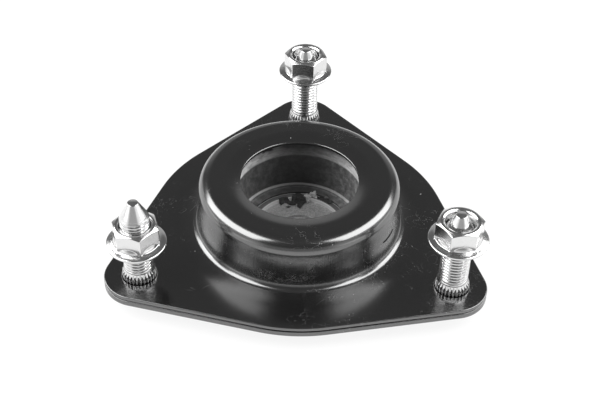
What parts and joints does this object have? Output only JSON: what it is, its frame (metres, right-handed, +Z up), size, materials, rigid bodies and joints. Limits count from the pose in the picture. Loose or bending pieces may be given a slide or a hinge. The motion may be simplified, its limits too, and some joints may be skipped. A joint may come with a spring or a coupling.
{
  "type": "strut mount",
  "caption": "Upper strut mount: three-cornered pressed flange with a drawn tower, rubber insulator, steel rod seat, splined studs and hexagon flange nuts.",
  "frame": {"origin": "on the plane that the mount stands on, under the middle of the flange's box", "axes": "+Z up along the studs and the tower, +Y towards the rear stud, +X towards the right stud"},
  "size_m": [0.1276, 0.124, 0.0408],
  "materials": {
    "black_paint": "gloss black coat on pressed steel",
    "rubber": "dusty moulded rubber",
    "seat_steel": "dull phosphated steel",
    "zinc": "bright zinc plate"
  },
  "bodies": {
    "mount": {"upper_shell": "black_paint", "lower_plate": "black_paint", "rubber_insulator": "rubber", "core_seat": "seat_steel", "stud_rear": "zinc", "stud_left": "zinc", "stud_right": "zinc"},
    "rear_nut": {"nut_rear": "zinc"},
    "left_nut": {"nut_left": "zinc"},
    "right_nut": {"nut_right": "zinc"}
  },
  "joints": [
    {"name": "rear_nut_travel", "type": "slide", "parent": "mount", "child": "rear_nut", "axis": [0, 0, 1], "range_m": [-0.0182, 0.0105]},
    {"name": "left_nut_travel", "type": "slide", "parent": "mount", "child": "left_nut", "axis": [0, 0, 1], "range_m": [-0.0108, 0.018]},
    {"name": "right_nut_travel", "type": "slide", "parent": "mount", "child": "right_nut", "axis": [0, 0, 1], "range_m": [-0.0174, 0.0113]}
  ]
}
